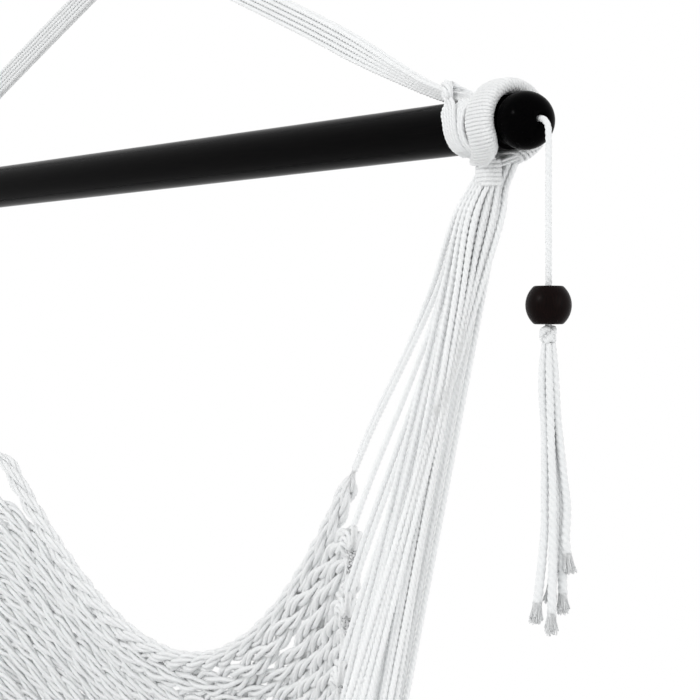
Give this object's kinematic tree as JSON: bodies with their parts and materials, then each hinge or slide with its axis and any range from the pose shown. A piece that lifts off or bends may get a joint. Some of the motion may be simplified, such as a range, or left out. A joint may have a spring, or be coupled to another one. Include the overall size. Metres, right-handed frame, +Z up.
{
  "type": "hammock chair",
  "caption": "Hanging hammock chair: woven white cord seat on fans of cord under a black wooden spreader bar with tassels, hung from a ring by two cord bundles.",
  "frame": {"origin": "inside the top of the hanging ring, where a hook bears", "axes": "+X along the spreader bar, -Y to the front of the chair, +Z up"},
  "size_m": [1.054, 0.3186, 1.205],
  "materials": {
    "ring_steel": "welded and zinc plated",
    "bar_lacquer": "glossy black lacquer",
    "bead_stain": "dark brown stain, semi-gloss",
    "seat_cord": "soft twisted white cord",
    "woven_cord": "white cord woven in overlapping tufts",
    "suspension_cord": "soft twisted white cord",
    "whipping_cord": "thin white cord, tightly wound",
    "tassel_yarn": "white twisted yarn, frayed ends"
  },
  "bodies": {
    "hanger": {"hanging_ring": "ring_steel"},
    "suspension": {"top_eye_core": "seat_cord", "top_eye_whipping": "whipping_cord", "top_eye_throat_binding": "whipping_cord", "spreader_bar": "bar_lacquer", "suspension_left": "suspension_cord", "suspension_right": "suspension_cord"},
    "seat": {"woven_seat": "woven_cord", "back_edge_rope": "seat_cord", "front_edge_rope": "seat_cord", "seat_eye_core_left": "seat_cord", "seat_eye_whipping_left": "whipping_cord", "seat_eye_throat_binding_left": "whipping_cord", "fan_cords_left": "seat_cord", "seat_eye_core_right": "seat_cord", "seat_eye_whipping_right": "whipping_cord", "seat_eye_throat_binding_right": "whipping_cord", "fan_cords_right": "seat_cord"},
    "tassel_left": {"tassel_cord_left": "tassel_yarn", "tassel_knot_left": "tassel_yarn", "tassel_strand_left_1": "tassel_yarn", "tassel_strand_left_2": "tassel_yarn", "tassel_strand_left_3": "tassel_yarn", "tassel_strand_left_4": "tassel_yarn", "tassel_strand_left_5": "tassel_yarn"},
    "bead_left": {"bead_left": "bead_stain"},
    "tassel_right": {"tassel_cord_right": "tassel_yarn", "tassel_knot_right": "tassel_yarn", "tassel_strand_right_1": "tassel_yarn", "tassel_strand_right_2": "tassel_yarn", "tassel_strand_right_3": "tassel_yarn", "tassel_strand_right_4": "tassel_yarn", "tassel_strand_right_5": "tassel_yarn"},
    "bead_right": {"bead_right": "bead_stain"}
  },
  "joints": [
    {"name": "suspension_swing", "type": "hinge", "parent": "hanger", "child": "suspension", "pos_m": [0, 0, -0.054], "axis": [1, 0, 0], "range_deg": [-45, 45]},
    {"name": "seat_swing", "type": "hinge", "parent": "suspension", "child": "seat", "pos_m": [0, 0, -0.265], "axis": [1, 0, 0], "range_deg": [-50, 50]},
    {"name": "tassel_swing_left", "type": "hinge", "parent": "suspension", "child": "tassel_left", "pos_m": [-0.508, 0, -0.265], "axis": [1, 0, 0], "range_deg": [-70, 70]},
    {"name": "tassel_swing_right", "type": "hinge", "parent": "suspension", "child": "tassel_right", "pos_m": [0.508, 0, -0.265], "axis": [1, 0, 0], "range_deg": [-70, 70]},
    {"name": "bead_slide_left", "type": "slide", "parent": "tassel_left", "child": "bead_left", "axis": [0, 0, 1], "range_m": [0, 0.06]},
    {"name": "bead_slide_right", "type": "slide", "parent": "tassel_right", "child": "bead_right", "axis": [0, 0, 1], "range_m": [0, 0.06]}
  ]
}
